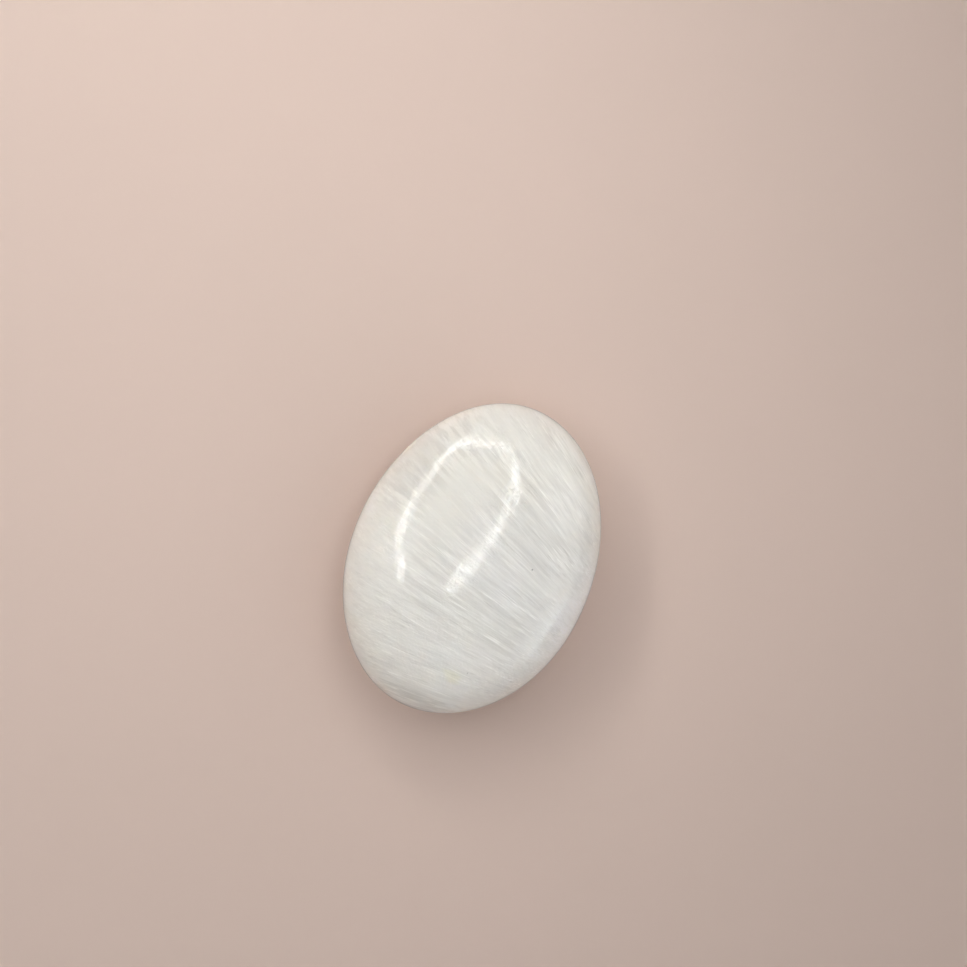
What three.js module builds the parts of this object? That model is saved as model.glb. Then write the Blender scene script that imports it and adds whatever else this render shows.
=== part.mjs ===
// Scolecite palm stone: a hand-polished pebble of milky white zeolite, oval in plan and domed on both faces.
//
// Millimetres, +Z up. The long axis runs along Y, its slightly slimmer end at +Y, and the short axis along X.
// The stone lies on its underside: z = 0 is the small flat seat there, and the origin is below its middle.

import * as THREE from "three";
import { mergeVertices } from "three/addons/utils/BufferGeometryUtils.js";

// --- Driving dimensions ---------------------------------------------------------------------------------------------

const LENGTH = 60; // tip to tip, along Y
const WIDTH = 45; // across the middle, along X
const CROWN = 11.2; // from the girdle, which is the widest level, up to the top of the dome
const BELLY = 10.8; // from the girdle down to the seat
const SEAT_TRIM = 0.25; // how much of the rounded underside the flat seat takes away

// A section through the dome is a superellipse. 2 is a plain ellipse, and more gives it a fuller shoulder.
const FULLNESS = 2.2;

// Half the width changes by this share from the middle to the +Y tip, so that end is the slimmer one.
const TAPER = -0.0215;

// Hand grinding leaves the oval a little uneven: so many gentle sides, each raised by a share of the radius,
// with the first of them at an angle counted from +X towards +Y.
const UNEVEN_SIDES = [
  { sides: 3, share: 0.0024, firstAt: 1 },
  { sides: 5, share: 0.0019, firstAt: -27 },
];

// Each face of the starting cube is cut into this many squares a side, so the stone has 12 times its square
// in triangles.
const CUTS_PER_FACE = 24;

const STONE_COLOUR = "#d9d6cc"; // milky white, a little warm
const STONE_ROUGHNESS = 0.2; // a wax-like polish
const STONE_METALNESS = 0;

// --- The stone's surface --------------------------------------------------------------------------------------------

// The share by which the oval stands out, or in, at an angle round it.
function unevenness(angle) {
  return UNEVEN_SIDES.reduce(
    (sum, { sides, share, firstAt }) => sum + share * Math.cos(sides * (angle - THREE.MathUtils.degToRad(firstAt))),
    0,
  );
}

// The point of the stone's skin that a direction from its middle leads to, with the girdle at z = 0.
function skinPoint(direction) {
  const inPlan = Math.hypot(direction.x, direction.y);
  const upright = Math.abs(direction.z);
  const reach = (inPlan ** FULLNESS + upright ** FULLNESS) ** (-1 / FULLNESS);

  const across = direction.x * reach; // -1 to 1 over the width
  const along = direction.y * reach; // -1 to 1 over the length
  const height = direction.z * reach; // -1 to 1 from the lowest point to the highest

  const stretch = 1 + unevenness(Math.atan2(along, across));
  const x = (WIDTH / 2) * across * (1 + TAPER * along) * stretch;
  const y = (LENGTH / 2) * along * stretch;
  const z = height > 0 ? height * CROWN : Math.max(height * (BELLY + SEAT_TRIM), -BELLY);
  return new THREE.Vector3(x, y, z);
}

// A cube's faces, cut into squares and pushed out onto the skin, give a closed shell of even triangles that has
// no crowded poles.
function stoneGeometry() {
  const cube = new THREE.BoxGeometry(2, 2, 2, CUTS_PER_FACE, CUTS_PER_FACE, CUTS_PER_FACE);
  cube.deleteAttribute("normal");
  cube.deleteAttribute("uv");
  const shell = mergeVertices(cube);

  const corners = shell.attributes.position;
  const corner = new THREE.Vector3();
  const evened = (value) => Math.tan((value * Math.PI) / 4); // keeps the squares alike once they are on a sphere
  for (let i = 0; i < corners.count; i++) {
    corner.fromBufferAttribute(corners, i);
    corner.set(evened(corner.x), evened(corner.y), evened(corner.z)).normalize();
    const { x, y, z } = skinPoint(corner);
    corners.setXYZ(i, x, y, z + BELLY);
  }

  shell.computeBoundingBox();
  const middle = shell.boundingBox.getCenter(new THREE.Vector3());
  shell.translate(-middle.x, -middle.y, 0);
  shell.computeVertexNormals();
  return shell;
}

// --- The part -------------------------------------------------------------------------------------------------------

function palmStone() {
  const finish = new THREE.MeshStandardMaterial({
    color: STONE_COLOUR,
    roughness: STONE_ROUGHNESS,
    metalness: STONE_METALNESS,
  });
  const stone = new THREE.Mesh(stoneGeometry(), finish);
  stone.name = "palm_stone";
  return stone;
}

const part = new THREE.Group();
part.add(palmStone());

export default part;
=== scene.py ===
# %% [markdown]
# # A scolecite palm stone
#
# The stone is one natural piece: a hand-polished oval of milky white scolecite, 60 mm long.
# Scolecite grows as needles that spread from a point like the hairs of a brush, so everything that
# shows on the stone, its streaks, its silk and its shimmer, follows that spray. The lesson builds
# the skin first, then one finish in layers, and then a plain setting to look at it in.

# %% The fixed frame
import math

import bmesh
import bpy
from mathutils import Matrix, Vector, noise


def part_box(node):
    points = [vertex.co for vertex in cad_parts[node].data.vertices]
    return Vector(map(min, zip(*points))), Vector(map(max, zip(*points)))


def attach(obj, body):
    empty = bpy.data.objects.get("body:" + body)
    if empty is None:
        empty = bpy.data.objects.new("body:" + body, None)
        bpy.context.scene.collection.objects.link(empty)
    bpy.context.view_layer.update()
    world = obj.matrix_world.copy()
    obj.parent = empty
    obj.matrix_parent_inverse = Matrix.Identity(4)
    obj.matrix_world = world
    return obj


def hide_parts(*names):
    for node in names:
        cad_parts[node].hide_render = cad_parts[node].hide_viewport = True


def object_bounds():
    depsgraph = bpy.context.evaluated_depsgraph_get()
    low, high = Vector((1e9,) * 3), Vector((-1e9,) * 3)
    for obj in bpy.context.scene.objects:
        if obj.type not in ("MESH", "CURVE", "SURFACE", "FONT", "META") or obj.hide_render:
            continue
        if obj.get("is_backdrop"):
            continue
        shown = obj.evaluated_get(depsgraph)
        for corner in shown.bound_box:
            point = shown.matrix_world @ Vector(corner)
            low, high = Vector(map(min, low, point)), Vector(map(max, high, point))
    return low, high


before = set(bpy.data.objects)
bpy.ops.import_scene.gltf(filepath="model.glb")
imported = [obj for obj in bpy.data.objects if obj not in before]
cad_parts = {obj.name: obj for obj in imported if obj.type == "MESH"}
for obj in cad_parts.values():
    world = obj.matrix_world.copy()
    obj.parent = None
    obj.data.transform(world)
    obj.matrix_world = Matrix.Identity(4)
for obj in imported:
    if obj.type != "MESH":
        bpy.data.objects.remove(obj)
cad_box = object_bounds()
print("frame nodes:", sorted(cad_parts))

# %% [markdown]
# ## Measures
#
# Blender works in metres here, and a stone is easier to think of in millimetres. So sizes are
# written in millimetres and multiplied by `MM` where they meet Blender. The stone's own length,
# width and height come from the frame, so that the skin made below always fits the solid that it
# dresses.

# %% Measures
MM = 0.001
lowest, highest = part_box("palm_stone")
WIDTH, LENGTH, HEIGHT = (highest - lowest) / MM
BELLY_SHARE = 10.8 / 22.0  # of the height lies below the girdle, the widest level
GIRDLE = HEIGHT * BELLY_SHARE  # above the surface that the stone lies on
CROWN = HEIGHT - GIRDLE
print(f"stone {LENGTH:.1f} x {WIDTH:.1f} x {HEIGHT:.1f} mm, girdle at {GIRDLE:.1f} mm")

# %% [markdown]
# ## The form
#
# A palm stone is ground by hand on a wheel until it sits well in the palm: an oval that is domed on
# both faces. A scaled sphere would do for a first look, but its shoulders are too thin. A
# superellipse has one more number, its fullness, which fills the shoulder without making a corner.
# Real grinding also leaves the oval very slightly uneven, and one end slimmer. All of that fits in
# one function, which takes a direction from the stone's middle and gives the point of the skin
# there.

# %% The form
FULLNESS = 2.2  # 2 is a plain ellipse
TAPER = -0.0215  # share of the half width lost from the middle to the +Y tip
UNEVEN_SIDES = [  # how many sides, share of the radius, degrees to the first
    (3, 0.0024, 1),
    (5, 0.0019, -27),
]
SEAT_TRIM = 0.25  # mm of the rounded underside that the flat seat takes away


def unevenness(angle):
    """The share by which the oval stands out at an angle round it."""
    stand_out = 0
    for sides, share, first in UNEVEN_SIDES:
        stand_out += share * math.cos(sides * (angle - math.radians(first)))
    return stand_out


def skin_point(direction):
    """The point of the stone's skin, in millimetres, that a direction from its middle leads to."""
    in_plan = math.hypot(direction.x, direction.y)
    reach = (in_plan**FULLNESS + abs(direction.z) ** FULLNESS) ** (-1 / FULLNESS)
    across, along, height = direction * reach
    stretch = 1 + unevenness(math.atan2(along, across))
    x = WIDTH / 2 * across * (1 + TAPER * along) * stretch
    y = LENGTH / 2 * along * stretch
    z = height * CROWN if height > 0 else max(height * (GIRDLE + SEAT_TRIM), -GIRDLE)
    return Vector((x, y, z + GIRDLE))


print("top of the crown, in mm:", skin_point(Vector((0, 0, 1))))
print("tip of the oval, in mm:", skin_point(Vector((0, 1, 0))))

# %% [markdown]
# ## Where the fibres come from
#
# The needles spread from one point, which lies outside the stone: the pebble was cut from the side
# of a larger spray. It helps to give each point of the stone a place *in the spray*: how far it
# lies round it, how far up or down, and how far along the needles. In that space all needles are
# straight and parallel, so any pattern that is long in the third number is a pattern of needles.
# The same sum is used twice, here in Python for the shape and further down in shader nodes for the
# finish.

# %% Places in the spray
SPRAY_CENTRE = Vector((76, -20, GIRDLE + 2))  # mm
SPRAY_REACH = 79  # mm from the spray's centre to the stone's middle, where angles turn into mm


def in_spray(point):
    """A point's place in the spray, in millimetres: round it, up or down it, and along the needles."""
    towards = SPRAY_CENTRE - point
    level = math.hypot(towards.x, towards.y)
    return Vector((
        math.atan2(towards.y, towards.x) * SPRAY_REACH,
        math.atan2(towards.z, level) * SPRAY_REACH,
        towards.length,
    ))


print("the stone's middle lies at", in_spray(Vector((0, 0, GIRDLE))), "in the spray")

# %% [markdown]
# ## Traces of polishing
#
# Polish never leaves a true surface. Bundles of needles differ a little in hardness, so the wheel
# leaves them a few thousandths of a millimetre proud or low, and the hand leaves broad, shallow
# waves. Neither shows as a shape, but a gloss shows both: they bend the edges of every reflection.
# They are real height in the mesh, because then any light, from any side, finds them.

# %% Traces of polishing
WAVE_SIZE, WAVE_HEIGHT = 8.0, 0.024  # mm
BUNDLE_WIDTH, BUNDLE_LENGTH, BUNDLE_HEIGHT = 2.6, 12.0, 0.010  # mm


def polishing_height(point):
    """How far the skin stands proud at a point, in millimetres."""
    waves = noise.noise(point / WAVE_SIZE) * WAVE_HEIGHT
    place = in_spray(point)
    along_bundles = Vector((place.x / BUNDLE_WIDTH, place.y / BUNDLE_WIDTH, place.z / BUNDLE_LENGTH))
    return waves + noise.noise(along_bundles) * BUNDLE_HEIGHT


samples = [Vector((x / 10, y / 10, 1)) for x in range(-9, 10) for y in range(-9, 10)]
heights = [polishing_height(skin_point(sample.normalized())) * 1000 for sample in samples]
print(f"polishing traces: {min(heights):.1f} to {max(heights):.1f} thousandths of a mm")

# %% [markdown]
# ## The skin
#
# A UV sphere would crowd its faces at two poles, where a gloss shows every pinch. A cube whose
# faces are cut into a grid and pushed out onto the skin has no poles, and its squares stay nearly
# alike. The tangent evens them out further. 120 squares a side puts a corner every quarter of a
# millimetre.

# %% The skin
SQUARES_A_SIDE = 120


def evened(value):
    """Spreads a cube's grid so that its squares are alike once they are pushed out."""
    return math.tan(value * math.pi / 4)


def stone_mesh():
    """The stone's skin as a closed mesh of squares, in metres."""
    grid = bmesh.new()
    bmesh.ops.create_cube(grid, size=2)
    bmesh.ops.subdivide_edges(grid, edges=grid.edges, cuts=SQUARES_A_SIDE - 1, use_grid_fill=True)
    for corner in grid.verts:
        direction = Vector(map(evened, corner.co)).normalized()
        point = skin_point(direction)
        if point.z > 0:
            point += direction * polishing_height(point)
            point.z = max(point.z, 0.0)
        corner.co = point * MM
    for face in grid.faces:
        face.smooth = True
    mesh = bpy.data.meshes.new("polished_stone")
    grid.to_mesh(mesh)
    grid.free()
    return mesh


stone = bpy.data.objects.new("polished_stone", stone_mesh())
bpy.context.scene.collection.objects.link(stone)
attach(stone, "root")
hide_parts("palm_stone")
print("skin:", len(stone.data.polygons), "squares")
print("size in mm:", [round(size / MM, 2) for size in stone.dimensions])

# %% [markdown]
# ## Shader nodes as sums
#
# A finish of this kind is arithmetic on places: how far, in which direction, how strong. Node trees
# built by hand hide that, so a few small helpers let the script read like the sums themselves. Each
# takes numbers or other nodes' outputs, and gives back an output that the next sum can use. The
# sums begin with the place of the point that is being rendered, in millimetres.

# %% Shader nodes as sums
finish = bpy.data.materials.new("polished_scolecite")
finish.use_nodes = True
tree = finish.node_tree
tree.nodes.clear()


def add_node(kind, inputs, **settings):
    """Adds a node to the tree. Inputs are numbers, vectors, colours or other nodes' outputs."""
    node = tree.nodes.new(kind)
    for name, value in settings.items():
        setattr(node, name, value)
    for name, value in inputs.items():
        if isinstance(value, bpy.types.NodeSocket):
            tree.links.new(value, node.inputs[name])
        else:
            node.inputs[name].default_value = value
    return node


def calc(operation, *values):
    """One sum on numbers."""
    return add_node("ShaderNodeMath", dict(enumerate(values)), operation=operation).outputs[0]


def vector_calc(operation, *values):
    """One sum on vectors. DOT_PRODUCT, LENGTH and DISTANCE give a number."""
    node = add_node("ShaderNodeVectorMath", dict(enumerate(values)), operation=operation)
    gives_number = operation in {"DOT_PRODUCT", "LENGTH", "DISTANCE"}
    return node.outputs["Value" if gives_number else "Vector"]


def scaled(vector, factor):
    """A vector times a number."""
    node = add_node("ShaderNodeVectorMath", {0: vector, "Scale": factor}, operation="SCALE")
    return node.outputs["Vector"]


def faded(value, none_at, full_at):
    """0 where value is at none_at, 1 where it is at full_at, and smooth between."""
    bounds = {"Value": value, "From Min": none_at, "From Max": full_at}
    node = add_node("ShaderNodeMapRange", bounds, interpolation_type="SMOOTHSTEP")
    return node.outputs["Result"]


def grains(size, detail):
    """A noise node without a direction, from 0 to 1, with features of that size in millimetres."""
    inputs = {"Vector": place_mm, "Scale": 1 / size, "Detail": detail}
    return add_node("ShaderNodeTexNoise", inputs)


place_mm = scaled(add_node("ShaderNodeTexCoord", {}).outputs["Object"], 1 / MM)
print("the finish begins with", len(tree.nodes), "nodes")

# %% [markdown]
# ## The spray, in nodes
#
# This is `in_spray` again, now for every point that is rendered. A little slow noise is added to
# the places round and up, so that the needles waver as grown ones do.

# %% The spray, in nodes
WAVER_SIZE, WAVER = 14.0, 0.9  # mm

towards_centre = vector_calc("SUBTRACT", tuple(SPRAY_CENTRE), place_mm)
towards_axes = add_node("ShaderNodeSeparateXYZ", {"Vector": towards_centre}).outputs
level_distance = vector_calc("LENGTH", vector_calc("MULTIPLY", towards_centre, (1, 1, 0)))
spray_place = add_node("ShaderNodeCombineXYZ", {
    "X": calc("MULTIPLY", calc("ARCTAN2", towards_axes["Y"], towards_axes["X"]), SPRAY_REACH),
    "Y": calc("MULTIPLY", calc("ARCTAN2", towards_axes["Z"], level_distance), SPRAY_REACH),
    "Z": vector_calc("LENGTH", towards_centre),
}).outputs["Vector"]
wavering = grains(WAVER_SIZE, detail=1.0).outputs["Color"]
waver = vector_calc("MULTIPLY", vector_calc("SUBTRACT", wavering, (0.5, 0.5, 0.5)), (WAVER, WAVER, 0))
spray_place = vector_calc("ADD", spray_place, waver)
print("the spray's places take", len(tree.nodes), "nodes")

# %% [markdown]
# ## Needle noises
#
# A noise texture that is squeezed across the needles and drawn out along them is a bundle of
# streaks. Three of them, from hair-fine threads to broad bundles, give streaks within streaks, as
# the real growth does. Needles are blades rather than wires, so the noise is also deeper than it is
# wide. Where the skin cuts them end on, that keeps them from turning into dots. Two more noises are
# cut off high and low, so that only single needles are left.

# %% Needle noises
BLADE_DEPTH = 4.0  # how many times deeper than wide a needle is
THREAD_LEVELS = 0.36, 0.64  # the noise's level where a thread is darkest, and where it is lightest
STRAND_LEVELS = 0.38, 0.62
CLUSTER_LEVELS = 0.36, 0.62
PALE_LEVELS = 0.56, 0.70  # high levels, so that only single needles are left
DARK_LEVELS = 0.40, 0.26  # and low ones
FEWEST, MORE = 0.25, 0.75  # share of the pale needles between clusters, and what a cluster adds


def needles(width, length, detail=2.0, roughness=0.55, shift=0.0):
    """Noise from 0 to 1 that runs along the needles, with features of that width and length in mm."""
    stretch = (1 / width, 1 / (width * BLADE_DEPTH), 1 / length)
    stretched = vector_calc("MULTIPLY_ADD", spray_place, stretch, (shift, shift, shift))
    inputs = {"Vector": stretched, "Scale": 1.0, "Detail": detail, "Roughness": roughness}
    return add_node("ShaderNodeTexNoise", inputs).outputs["Fac"]


threads = needles(width=0.25, length=5, detail=2)
strands = needles(width=0.8, length=9, shift=7)
bundles = needles(width=3.2, length=18, detail=1, shift=13)
groups = needles(width=2.2, length=12, detail=1, shift=19)
pale_threads = needles(width=0.22, length=5, detail=1, shift=31)
dark_threads = needles(width=0.25, length=3.5, detail=1, shift=47)

clear_threads = faded(threads, *THREAD_LEVELS)
clear_strands = faded(strands, *STRAND_LEVELS)
clusters = calc("MULTIPLY_ADD", faded(groups, *CLUSTER_LEVELS), MORE, FEWEST)
pale_needles = calc("MULTIPLY", faded(pale_threads, *PALE_LEVELS), clusters)
dark_needles = faded(dark_threads, *DARK_LEVELS)
print("with the needle noises:", len(tree.nodes), "nodes")

# %% [markdown]
# ## Veils
#
# The milk isn't even, and some of what is laid here is painted light. One side of the stone is a
# warmer cream, and the middle and the right are cooler and a little greyer: that is painted cool
# shade, on the side away from the lamp. Other veils are partly the stone's own uneven tone and
# partly painted: a painted silky sheen where some bundles face the light, painted light on the
# right rim and painted shade near the -Y tip. Each veil is a soft patch that lies along the
# needles, with an edge that the strands fray.

# %% Veils
PATCH_EDGE = 1.35, 0.55  # shares of a patch's reach where it has ended, and where it is full
COOL_FRAY = 0.15  # how much the strands fray a cool veil's edge, which has to stay soft


def level_direction(x, y):
    """The needles' direction at a point of the plan, as a level vector towards the spray's centre."""
    return Vector((SPRAY_CENTRE.x - x, SPRAY_CENTRE.y - y, 0)).normalized()


def patch(x, y, half_length, half_width, fray=0.5):
    """A soft patch round a point of the plan, longest along the needles: 1 inside, 0 outside."""
    along = level_direction(x, y)
    across = Vector((-along.y, along.x, 0))
    offset = vector_calc("SUBTRACT", place_mm, (x, y, 0))
    reach = vector_calc("LENGTH", add_node("ShaderNodeCombineXYZ", {
        "X": vector_calc("DOT_PRODUCT", offset, tuple(along / half_length)),
        "Y": vector_calc("DOT_PRODUCT", offset, tuple(across / half_width)),
        "Z": 0.0,
    }).outputs["Vector"])
    frayed = calc("ADD", reach, calc("MULTIPLY", calc("SUBTRACT", clear_strands, 0.5), fray))
    return faded(frayed, *PATCH_EDGE)


def total(parts):
    """The sum of several strengths, each a patch or line times how much it counts."""
    result = 0.0
    for mask, amount in parts:
        result = calc("MULTIPLY_ADD", mask, amount, result)
    return result


# Patches of painted cool shade on the middle and the right, away from the lamp.
PAINTED_COOL_SHADE_VEILS = [  # x, y, half length, half width, how cool
    (11, 4, 15, 11, 0.55),
    (11.5, 16, 5, 4, 0.3),
    (4, -10, 20, 11, 0.45),
    (2, 3, 8, 9, 0.25),
]
# Partly the stone's own uneven tone, partly painted: a painted silky sheen, painted light on the right
# rim and painted shade near the -Y tip.
PAINTED_SHEEN_AND_SHADE_VEILS = [  # x, y, half length, half width, how much lighter or darker
    (8.4, 19.8, 4.5, 3.0, 0.05),
    (11.5, 11.2, 3.0, 1.0, 0.03),
    (12.0, 15.5, 4.5, 3.2, 0.035),
    (17.5, 0.5, 3.5, 4.0, 0.03),
    (15.0, 9.5, 3.0, 2.5, -0.05),
    (7.5, 8.0, 8, 4.5, -0.05),
    (-7.0, 9.0, 8, 9.0, -0.03),
    (-2.0, 24.5, 14, 8.0, -0.05),
    (-1.0, 7.0, 17, 15.0, -0.025),
    (0.0, -28.5, 9, 3.0, -0.04),
    (-7.5, -3.5, 4, 2.5, -0.03),
    (-14.5, -3.0, 4, 4.0, 0.04),
    (1.5, -25.5, 8, 2.5, 0.02),
    (-17.5, 12.0, 6, 8.0, -0.10),
    (-8.0, 20.5, 5, 3.0, -0.03),
    (2.0, -8.0, 12, 5.0, -0.03),
    (21.0, -1.0, 3.4, 13.0, 0.15),
    (20.0, 9.0, 2.2, 3.5, 0.08),
    (2.5, -19.5, 9, 4.5, 0.04),
    (3.0, -31.0, 13, 4.0, -0.09),
]
# How much painted cool shade lies at a point.
painted_cool_shade = total((patch(*place, fray=COOL_FRAY), amount) for *place, amount in PAINTED_COOL_SHADE_VEILS)
# The painted sheen, light and shade of the veils, with the stone's own uneven tone.
painted_sheen_and_shade = total((patch(*place), amount) for *place, amount in PAINTED_SHEEN_AND_SHADE_VEILS)
print(len(PAINTED_COOL_SHADE_VEILS) + len(PAINTED_SHEEN_AND_SHADE_VEILS), "veils laid")

# %% [markdown]
# ## Needles, creases and specks
#
# A few single things catch the eye: long pale needles, dark hairline creases where two bundles
# part, and small dark specks of another mineral. Each line starts at a point of the plan and runs
# along the needles there, so a length is all that it needs to end in the right place.

# %% Needles, creases and specks
LINE_CORE = 0.2  # share of a line's half width that is at full strength
SPECK_CORE = 0.4  # share of a speck's radius that is at full strength


def line(x, y, length, half_width):
    """A fine line along the needles, thin at its ends: 1 on the line, 0 away from it."""
    way = level_direction(x, y) * length
    offset = vector_calc("MULTIPLY", vector_calc("SUBTRACT", place_mm, (x, y, 0)), (1, 1, 0))
    share = calc("MULTIPLY", vector_calc("DOT_PRODUCT", offset, tuple(way)), 1 / length**2)
    held = add_node("ShaderNodeClamp", {"Value": share}).outputs["Result"]
    distance = vector_calc("DISTANCE", offset, scaled(tuple(way), held))
    ends = calc("MULTIPLY", calc("MULTIPLY", held, calc("SUBTRACT", 1.0, held)), 4.0)
    across = faded(distance, half_width, half_width * LINE_CORE)
    return calc("MULTIPLY", across, calc("SQRT", ends))


LINES = [  # x, y, length, half width, how much lighter or darker
    (1.2, -10.5, 16, 0.22, 0.05),
    (9.6, -9.3, 2.0, 0.25, 0.12),
    (2.9, 16.2, 6.0, 0.24, -0.10),
    (-6.5, 13.2, 4.0, 0.16, -0.05),
    (-12.0, 0.6, 4.0, 0.16, -0.05),
    (-14.0, -12.3, 2.5, 0.20, -0.06),
    (-13.2, -13.6, 2.2, 0.20, -0.05),
    (-12.4, -14.9, 2.0, 0.18, -0.05),
]
SPECKS = [  # x, y, radius, how much darker
    (10.4, 3.1, 0.22, -0.5),
    (7.8, -18.9, 0.18, -0.25),
]


def speck(x, y, radius):
    """A small round spot in the plan."""
    distance = vector_calc("DISTANCE", vector_calc("MULTIPLY", place_mm, (1, 1, 0)), (x, y, 0))
    return faded(distance, radius, radius * SPECK_CORE)


marks = total((line(*place), amount) for *place, amount in LINES)
dirt = total((speck(*place), amount) for *place, amount in SPECKS)
print(len(LINES), "lines and", len(SPECKS), "specks drawn")

# %% [markdown]
# ## Colour
#
# The milk is a mix of a warm and a cool white, and the cool white is painted cool shade. The
# needle noises then lighten and darken it, each by a small share: polished scolecite is nearly
# white, and its streaks differ by only a few hundredths. They aren't equally clear everywhere.
# They fade away from the spray's centre, they come in clusters, and two stretches of the crown are
# calm, so that strength is a sum of its own. A faint cream stain near one end is the last touch.

# %% How clear the streaks are
NEEDLES_FADE = 96, 80  # mm from the spray's centre, where the streaks are faintest and strongest
FAINTEST = 0.4
CLEAR_BETWEEN, CLEAR_IN_CLUSTER = 0.45, 0.9  # clearness between clusters, and what a cluster adds
CALM_STRETCHES = [  # x, y, half length, half width, what is taken off the streaks' clearness
    (-6.5, 9.5, 7.0, 8.0, -0.6),
    (12.0, 14.0, 7.0, 6.0, -0.25),
]

spray_axes = add_node("ShaderNodeSeparateXYZ", {"Vector": spray_place}).outputs
clearness = calc("MULTIPLY_ADD", faded(spray_axes["Z"], *NEEDLES_FADE), 1 - FAINTEST, FAINTEST)
in_clusters = calc("MULTIPLY_ADD", clusters, CLEAR_IN_CLUSTER, CLEAR_BETWEEN)
clearness = calc("MULTIPLY", clearness, in_clusters)
calmness = total((patch(*place), amount) for *place, amount in CALM_STRETCHES)
clearness = calc("MULTIPLY", clearness, calc("ADD", calmness, 1.0))
print(f"streaks fade to {FAINTEST:.0%} at {NEEDLES_FADE[0]} mm from the spray's centre")

# %% Colour
WARM_MILK = (0.858, 0.845, 0.794, 1.0)
# The milk under the painted cool shade.
MILK_IN_COOL_SHADE = (0.821, 0.816, 0.79, 1.0)
THREAD_TONE = 0.06  # share of lightness between a noise's darkest and lightest places
STRAND_TONE = 0.075
BUNDLE_TONE = 0.12
PALE_TONE = 0.10
DARK_TONE = -0.08
STREAK_TINT = (0.96, 1.0, 1.05)  # light streaks are a little bluer, dark ones a little browner
STAIN = (5.4, -20.6, 1.8, 1.1)  # x, y, half length, half width
STAIN_TINT = (0.015, 0.01, -0.06)

mix_inputs = {"Factor": painted_cool_shade, 6: WARM_MILK, 7: MILK_IN_COOL_SHADE}  # 6 and 7 are the sockets for colours
milk = add_node("ShaderNodeMix", mix_inputs, data_type="RGBA").outputs[2]
needle_tone = total([
    (calc("SUBTRACT", clear_threads, 0.5), THREAD_TONE),
    (calc("SUBTRACT", clear_strands, 0.5), STRAND_TONE),
    (calc("SUBTRACT", bundles, 0.5), BUNDLE_TONE),
    (pale_needles, PALE_TONE),
    (dark_needles, DARK_TONE),
])
# The lightness takes in the painted sheen, light and shade of the veils.
lightness = total([(needle_tone, clearness), (painted_sheen_and_shade, 1.0), (marks, 1.0)])
streak_colour = vector_calc("MULTIPLY_ADD", lightness, STREAK_TINT, (1, 1, 1))
stain_colour = vector_calc("MULTIPLY_ADD", patch(*STAIN), STAIN_TINT, (1, 1, 1))
stone_colour = vector_calc("MULTIPLY", vector_calc("MULTIPLY", milk, streak_colour), stain_colour)
stone_colour = scaled(stone_colour, calc("ADD", dirt, 1.0))
print("with the colour:", len(tree.nodes), "nodes")

# %% [markdown]
# ## Silk
#
# The needles just below the polish throw some light back as a soft sheen that spreads across them,
# as on silk thread. An anisotropic reflection does that once it knows the way across the needles,
# which is square both to them and to the skin's normal. Neighbouring bundles are twisted a few
# degrees against each other, so a cell pattern, drawn out along the spray, turns each bundle's
# direction a little and lets them shimmer one by one.

# %% Silk
TWIST_WIDTH, TWIST_LENGTH = 3.5, 24.0  # mm, the size of a bundle that is twisted as one
TWIST = 0.5  # how far the direction may be turned, as a share of its own length

twist_grid = vector_calc("DIVIDE", spray_place, (TWIST_WIDTH, TWIST_WIDTH, TWIST_LENGTH))
twist_cells = add_node("ShaderNodeTexVoronoi", {"Vector": twist_grid, "Scale": 1.0})
twist = scaled(vector_calc("SUBTRACT", twist_cells.outputs["Color"], (0.5, 0.5, 0.5)), TWIST)
needle_direction = vector_calc("ADD", vector_calc("NORMALIZE", towards_centre), twist)
skin_direction = add_node("ShaderNodeNewGeometry", {}).outputs["Normal"]
across_needles = vector_calc("CROSS_PRODUCT", skin_direction, needle_direction)
across_needles = vector_calc("NORMALIZE", across_needles)
print(f"bundles of {TWIST_WIDTH} x {TWIST_LENGTH} mm shimmer as one")

# %% [markdown]
# ## The polish and its pits
#
# The wheel leaves two kinds of fine relief. Hard needles stand up to two hundredths of a millimetre
# proud, which frays the edges of a reflection. And where a needle's end breaks out, a pit stays
# that no polish can close. A pit has no gloss of its own, so in a highlight it is a dark grain, and
# elsewhere it hardly shows. Such relief is far finer than the mesh, so it is a height for the
# shader alone. The pits are deepest in patches along the crown.

# %% The polish and its pits
THREAD_RELIEF, STRAND_RELIEF = 0.004 * MM, 0.018 * MM
RIPPLE_SIZE, RIPPLE_RELIEF = 1.2, 0.02 * MM
PIT_SIZE, PIT_DEPTH = 0.5, 0.13 * MM
PIT_SHADE = 0.045  # how much darker the milk is in a pit, where no gloss holds light back
PIT_LEVELS = 0.50, 0.57  # the noise's level at a pit's rim, and at its floor
PIT_FRAY = 0.2
PITS_ELSEWHERE = 0.15
PITTED_FROM, PITTED_TO = GIRDLE + 3, GIRDLE + 7  # mm, where the pits begin and where they are deepest
PITTED_PATCHES = [  # x, y, half length, half width, how much deeper the pits are there
    (-10.5, 18.8, 3.5, 3.0, 0.9),
    (-3.0, 20.8, 4.0, 2.2, 0.7),
    (-13.8, 11.0, 2.2, 5.0, 0.7),
    (-14.5, 0.0, 2.5, 7.0, 0.8),
    (1.8, 13.0, 2.5, 5.0, 0.9),
    (0.2, 0.0, 2.5, 8.0, 0.55),
]

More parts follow.
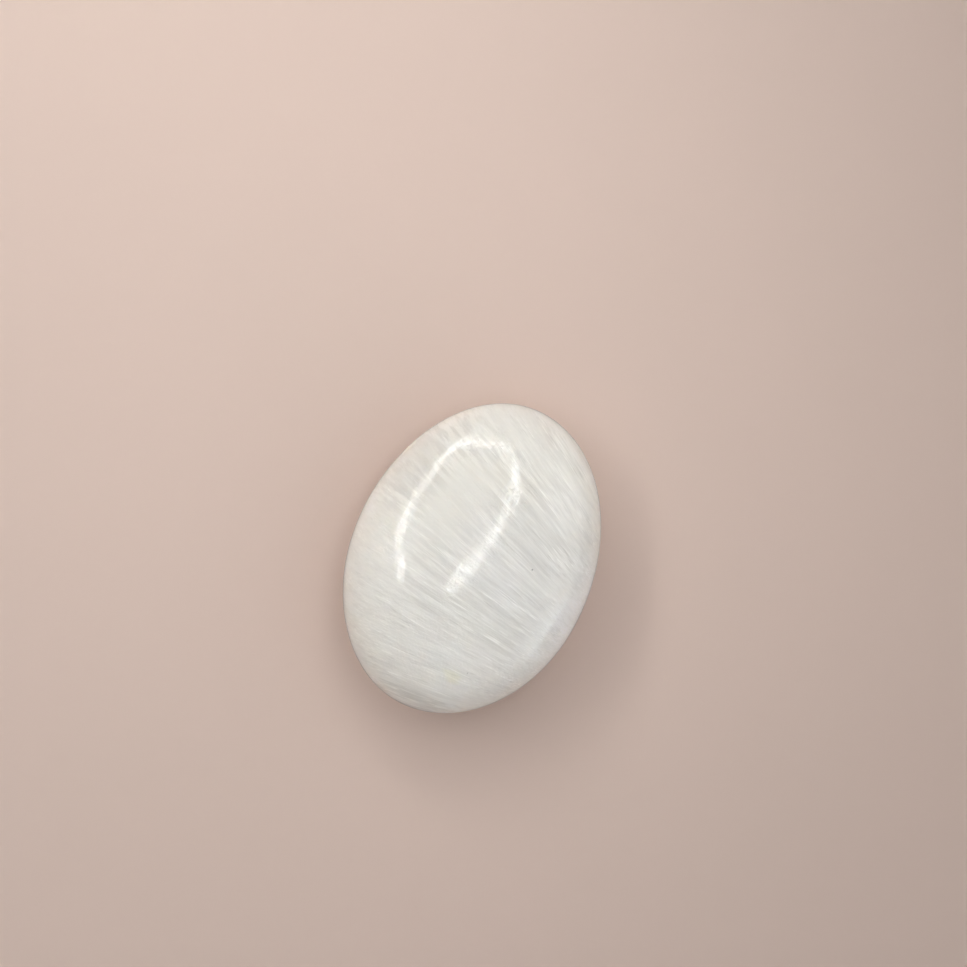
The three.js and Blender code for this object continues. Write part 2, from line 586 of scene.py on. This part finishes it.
ripples = grains(RIPPLE_SIZE, detail=1.0).outputs["Fac"]
polish_height = total([(threads, THREAD_RELIEF), (strands, STRAND_RELIEF), (ripples, RIPPLE_RELIEF)])
pit_share = total((patch(*place, fray=PIT_FRAY), share) for *place, share in PITTED_PATCHES)
pit_share = calc("MINIMUM", calc("ADD", pit_share, PITS_ELSEWHERE), 1.0)
place_height = add_node("ShaderNodeSeparateXYZ", {"Vector": place_mm}).outputs["Z"]
pit_share = calc("MULTIPLY", pit_share, faded(place_height, PITTED_FROM, PITTED_TO))
pit_noise = grains(PIT_SIZE, detail=0.0).outputs["Fac"]
pits = calc("MULTIPLY", faded(pit_noise, *PIT_LEVELS), pit_share)
pitted_height = calc("MULTIPLY_ADD", pits, -PIT_DEPTH, polish_height)
print(len(PITTED_PATCHES), "patches with pits", PIT_SIZE, "mm apart")

# %% [markdown]
# ## The finish put together
#
# Three things happen to light on this stone, and one shader has a part for each. Most light sinks
# in and comes back out a millimetre or two away, which is subsurface scattering, a little further
# for red than for blue. Some becomes the silk sheen, the rough, anisotropic reflection. And a
# little is mirrored by the polish itself, which is a clear coat with a normal of its own. Numbers
# that are the same all over go straight into their sockets.

# %% The finish put together
SCOLECITE_IOR = 1.51


def relief(height):
    """The shading normal of a skin with that height, in metres."""
    return add_node("ShaderNodeBump", {"Height": height, "Distance": 1.0}).outputs["Normal"]


surface = add_node("ShaderNodeBsdfPrincipled", {
    "Base Color": scaled(stone_colour, calc("MULTIPLY_ADD", pits, -PIT_SHADE, 1.0)),
    "Roughness": 0.4,
    "IOR": SCOLECITE_IOR,
    "Normal": relief(pitted_height),
    "Subsurface Weight": 0.9,
    "Subsurface Radius": (1.0, 0.92, 0.8),
    "Subsurface Scale": 3.0 * MM,
    "Anisotropic": 0.7,
    "Tangent": across_needles,
    "Coat Weight": calc("SUBTRACT", 1.0, pits),
    "Coat Roughness": 0.08,
    "Coat IOR": SCOLECITE_IOR,
    "Coat Normal": relief(polish_height),
})
output = add_node("ShaderNodeOutputMaterial", {"Surface": surface.outputs["BSDF"]})
stone.data.materials.append(finish)
print("finish:", len(tree.nodes), "nodes")

# %% [markdown]
# ## The setting
#
# The stone lies on a pale, matt floor that curves up into a wall all round, so that there is no
# horizon from any side. A plane would end somewhere. Instead a profile of a few points is turned
# about the stone, as on a lathe.

# %% The floor
NEAR_RADIUS, FLOOR_RADIUS, WALL_RADIUS, WALL_HEIGHT = 0.35, 0.9, 1.3, 0.4  # m
CURVE_STEPS, TURNS = 12, 96
floor_profile = [(0.0, 0.0), (NEAR_RADIUS, 0.0), (FLOOR_RADIUS, 0.0)]
for step in range(1, CURVE_STEPS + 1):
    angle = math.radians(90 * step / CURVE_STEPS)
    run = (WALL_RADIUS - FLOOR_RADIUS) * math.sin(angle)
    floor_profile.append((FLOOR_RADIUS + run, WALL_HEIGHT * (1 - math.cos(angle))))


def turned_mesh(name, profile, turns):
    """A profile of (radius, height) points turned about the vertical."""
    shape = bmesh.new()
    points = [shape.verts.new((radius, 0, height)) for radius, height in profile]
    edges = [shape.edges.new(pair) for pair in zip(points, points[1:])]
    bmesh.ops.spin(
        shape,
        geom=points + edges,
        axis=(0, 0, 1),
        cent=(0, 0, 0),
        angle=math.tau,
        steps=turns,
        use_merge=True,
    )
    bmesh.ops.remove_doubles(shape, verts=shape.verts, dist=1e-6)
    bmesh.ops.recalc_face_normals(shape, faces=shape.faces)
    for face in shape.faces:
        face.smooth = True
    mesh = bpy.data.meshes.new(name)
    shape.to_mesh(mesh)
    shape.free()
    return mesh


floor = bpy.data.objects.new("floor", turned_mesh("floor", floor_profile, TURNS))
bpy.context.scene.collection.objects.link(floor)
floor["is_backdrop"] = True
print("floor:", len(floor.data.polygons), "faces")

# %% The floor's finish
FLOOR_COLOUR = (0.68, 0.54, 0.47, 1.0)

floor_finish = bpy.data.materials.new("matt_floor")
floor_finish.use_nodes = True
floor_surface = floor_finish.node_tree.nodes["Principled BSDF"]
floor_surface.inputs["Base Color"].default_value = FLOOR_COLOUR
floor_surface.inputs["Roughness"].default_value = 0.85
floor.data.materials.append(floor_finish)
print("floor colour:", FLOOR_COLOUR[:3])

# %% [markdown]
# ## The lamp
#
# The bright horseshoe on the crown is the mirror image of a ring lamp with a gap, hung over the
# stone's left side. A polished dome shows a lamp's shape, so the lamp has to have the right one. No
# built-in light is a ring, so it is a mesh that shines: a band that follows a slightly squared,
# tilted ring. A table gives its width and how far it is pushed outwards at several angles, with
# smooth steps between. The camera doesn't see the band itself.

# %% The lamp's ring
RING_CENTRE = Vector((-196, 28, GIRDLE + 300))  # mm
RING_RADIUS = 228  # mm
RING_SLOPE = (-0.58, -0.57)  # rise of the ring's plane for each mm along X and along Y
RING_OVAL = (0.037, 0.036)  # shares of the radius that come twice in a turn
RING_SQUARE = (0.024, 0.088)  # and four times in a turn
RING_START, RING_END = -24, 256  # degrees round the ring, with the gap between them
RING_STEPS = 72
BAND = [  # degrees round the ring, mm wide, mm that the band is pushed outwards
    (-24, 17, 3),
    (-15, 21, 1),
    (-8, 9, 1),
    (-3, 17, 1),
    (2, 7, 2),
    (9, 28, 3),
    (15, 10, 2),
    (22, 9, -2),
    (36, 31, 0),
    (46, 19, -5),
    (58, 26, -9),
    (88, 52, -5),
    (110, 69, -5),
    (130, 38, -5),
    (155, 104, -1),
    (173, 37, 1),
    (188, 110, 4),
    (205, 50, 6),
    (230, 19, 1),
    (256, 48, -10),
]


def band_at(degrees):
    """The band's width and how far it is pushed outwards, in mm, at an angle round the ring."""
    for (start, *at_start), (end, *at_end) in zip(BAND, BAND[1:]):
        if degrees <= end:
            break
    share = (degrees - start) / (end - start)
    share = share * share * (3 - 2 * share)
    return [first + (last - first) * share for first, last in zip(at_start, at_end)]


def ring_point(angle):
    """The ring's point at an angle, in millimetres."""
    level = Vector((math.cos(angle), math.sin(angle), 0))
    way = Vector((level.x, level.y, RING_SLOPE[0] * level.x + RING_SLOPE[1] * level.y)).normalized()
    oval = RING_OVAL[0] * math.cos(2 * angle) + RING_OVAL[1] * math.sin(2 * angle)
    square = RING_SQUARE[0] * math.cos(4 * angle) + RING_SQUARE[1] * math.sin(4 * angle)
    return RING_CENTRE + way * RING_RADIUS * (1 + oval + square)


print("the lamp's band begins at", ring_point(math.radians(RING_START)), "mm")


# %% The lamp's band
def lamp_mesh():
    """The lamp's band as one strip of squares that faces the stone, in metres."""
    strip = bmesh.new()
    turn = math.radians(RING_END - RING_START) / RING_STEPS
    rungs = []
    for step in range(RING_STEPS + 1):
        angle = math.radians(RING_START) + turn * step
        middle = ring_point(angle)
        onward = ring_point(angle + turn / 2) - ring_point(angle - turn / 2)
        aside = onward.cross(middle - Vector((0, 0, HEIGHT))).normalized()
        width, push = band_at(math.degrees(angle))
        edges = [middle + aside * (push + side * width / 2) for side in (-1, 1)]
        rungs.append([strip.verts.new(edge * MM) for edge in edges])
    for (inner, outer), (next_inner, next_outer) in zip(rungs, rungs[1:]):
        strip.faces.new((inner, outer, next_outer, next_inner))
    mesh = bpy.data.meshes.new("ring_lamp")
    strip.to_mesh(mesh)
    strip.free()
    return mesh


lamp = bpy.data.objects.new("ring_lamp", lamp_mesh())
bpy.context.scene.collection.objects.link(lamp)
lamp.visible_camera = False
lamp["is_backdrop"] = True
print("lamp band:", len(lamp.data.polygons), "faces")

# %% The lamp's glow
LAMP_GLOW = 8.6
LAMP_COLOUR = (1.0, 0.99, 0.97, 1.0)

glow = bpy.data.materials.new("lamp_glow")
glow.use_nodes = True
glow.cycles.emission_sampling = "FRONT"
glow_nodes = glow.node_tree.nodes
glow_nodes.clear()
emission = glow_nodes.new("ShaderNodeEmission")
emission.inputs["Color"].default_value = LAMP_COLOUR
emission.inputs["Strength"].default_value = LAMP_GLOW
glow_output = glow_nodes.new("ShaderNodeOutputMaterial")
glow.node_tree.links.new(emission.outputs["Emission"], glow_output.inputs["Surface"])
lamp.data.materials.append(glow)
print("lamp glow:", LAMP_GLOW)

# %% [markdown]
# ## The room
#
# Everything else is soft light from a plain room: dim on the left, and bright on the right, where a
# pale wall stands in daylight. The wall ends at a ceiling that is a little dimmer, and a gloss
# shows that edge as a faint arc. A room needs no mesh. The world's background can be brighter in
# some directions than in others, and the helpers above write that sum too, once `tree` stands for
# the room's nodes.

# %% The room
ROOM_COLOUR = (0.98, 0.99, 1.0, 1.0)
DIM_WALL, PALE_WALL = 0.22, 1.24  # how strongly the left and the right of the room shine
CEILING = 0.6  # of the wall's light comes from above its top edge
WALL_TOP = 0.60, 0.56  # height on a unit sphere where the ceiling is full, and where the wall is
TO_THE_RIGHT = (0.99, 0.1, 0)
DIM_AT, BRIGHT_AT = -0.2, 1.0  # share of that direction where the room is dimmest and brightest

room = bpy.data.worlds.new("pale_room")
room.use_nodes = True
tree = room.node_tree  # from here on the helpers add to the room
way_out = add_node("ShaderNodeTexCoord", {}).outputs["Generated"]
height_out = add_node("ShaderNodeSeparateXYZ", {"Vector": way_out}).outputs["Z"]
to_the_right = faded(vector_calc("DOT_PRODUCT", way_out, TO_THE_RIGHT), DIM_AT, BRIGHT_AT)
below_top = calc("MULTIPLY_ADD", faded(height_out, *WALL_TOP), 1 - CEILING, CEILING)
wall_light = calc("MULTIPLY", to_the_right, below_top)
room_light = calc("MULTIPLY_ADD", wall_light, PALE_WALL - DIM_WALL, DIM_WALL)
tree.links.new(room_light, tree.nodes["Background"].inputs["Strength"])
tree.nodes["Background"].inputs["Color"].default_value = ROOM_COLOUR
bpy.context.scene.world = room
print("room:", len(tree.nodes), "nodes")

# %% [markdown]
# ## The camera
#
# It looks straight down on the crown from 300 mm, turned so that the stone's long axis leans to the
# right. The lens is chosen so that the picture is 180 mm wide at the girdle.

# %% The camera
CAMERA_DISTANCE = 0.300  # m above the girdle
PICTURE_WIDTH = 0.180  # m at the girdle
LOOKS_AT = Vector((-0.00413, 0.01343))  # m from the stone's middle, where the picture's centre falls
LEAN = 25.07  # degrees that the long axis leans to the right
SENSOR_WIDTH = 36  # mm

camera_data = bpy.data.cameras.new("camera")
camera_data.sensor_width = SENSOR_WIDTH
camera_data.lens = SENSOR_WIDTH * CAMERA_DISTANCE / PICTURE_WIDTH
camera_data.clip_start = 0.01
camera = bpy.data.objects.new("camera", camera_data)
camera.location = (LOOKS_AT.x, LOOKS_AT.y, GIRDLE * MM + CAMERA_DISTANCE)
camera.rotation_euler = (0, 0, math.radians(LEAN))
bpy.context.scene.collection.objects.link(camera)
bpy.context.scene.camera = camera
bpy.context.scene.view_settings.view_transform = "Standard"
print(f"lens {camera_data.lens:.1f} mm")

# %% [markdown]
# ## Last checks
#
# The dressed stone may not outgrow the solid that it stands for, so the script prints how much its
# box grows beyond the solid's box.

# %% Last checks
stone_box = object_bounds()
growth = (stone_box[1] - stone_box[0]) - (cad_box[1] - cad_box[0])
print("box grows by", [round(side / MM, 3) for side in growth], "mm")
